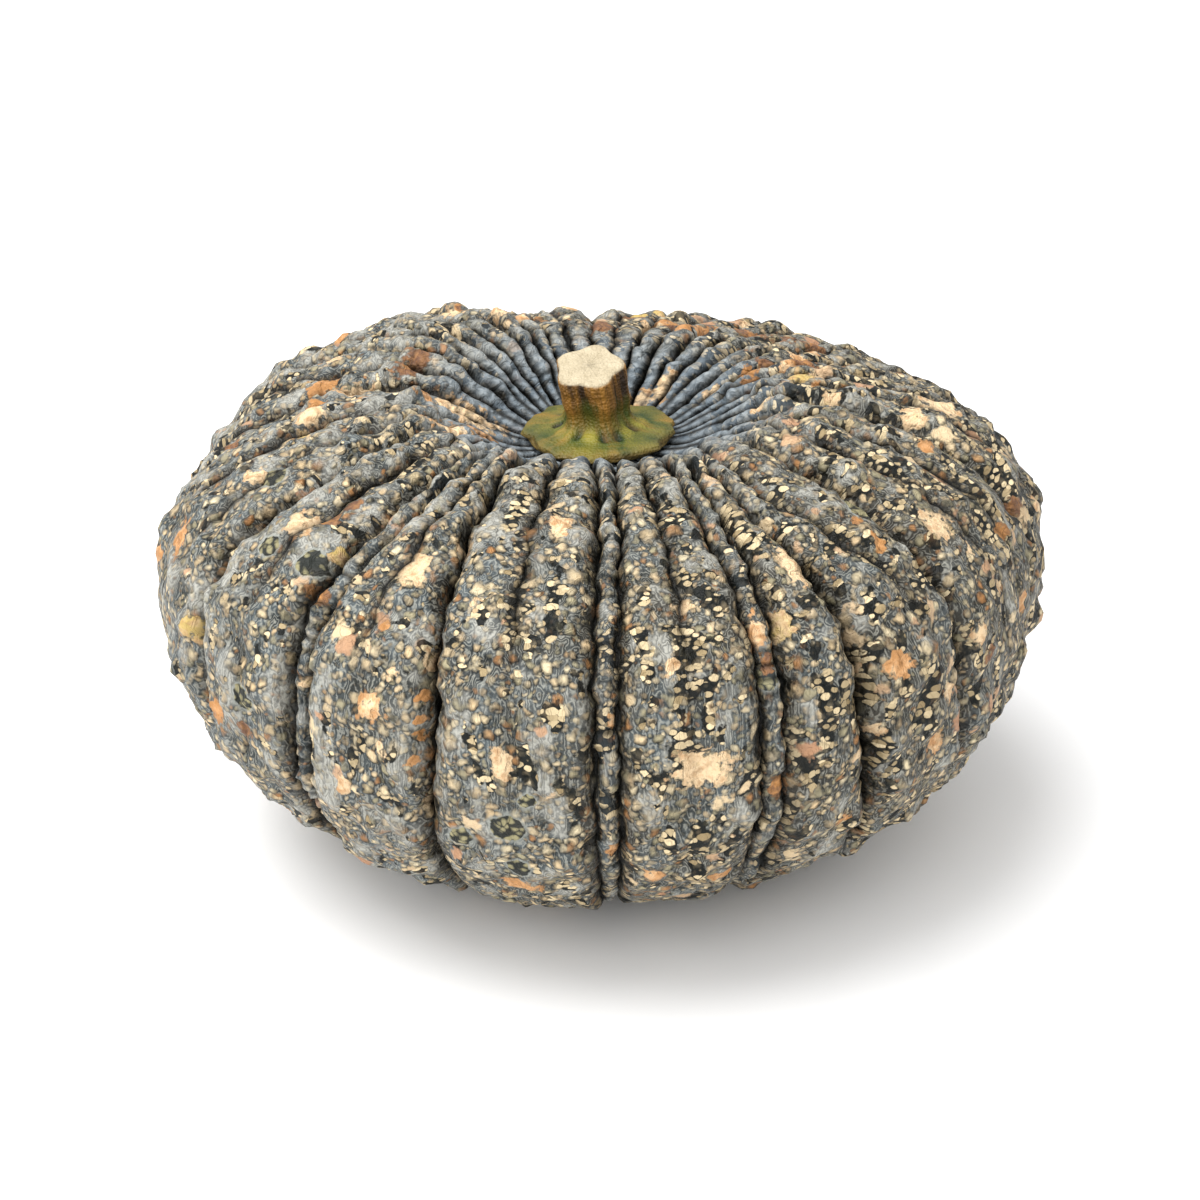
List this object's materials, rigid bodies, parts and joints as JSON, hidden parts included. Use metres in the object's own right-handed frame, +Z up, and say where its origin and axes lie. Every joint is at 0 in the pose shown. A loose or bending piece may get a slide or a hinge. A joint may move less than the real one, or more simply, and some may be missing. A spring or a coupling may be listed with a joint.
{
  "type": "pumpkin",
  "caption": "Flattened round pumpkin with deep furrows between knobbly ribs, a hollowed crown and a short cut stem on a spread foot.",
  "frame": {"origin": "on the floor under the middle of the fruit", "axes": "+Z up along the stem, -Y towards the side with the narrow middle cord"},
  "size_m": [0.2627, 0.2559, 0.1474],
  "materials": {
    "rind": "tough grown rind with a dull waxy bloom: slate grey-green, speckled with cream corky beads and peach patches",
    "stem": "dry fibrous stalk, tan and olive green, with a pale cut face"
  },
  "bodies": {
    "root": {"fruit": "rind", "stem": "stem"}
  },
  "joints": []
}
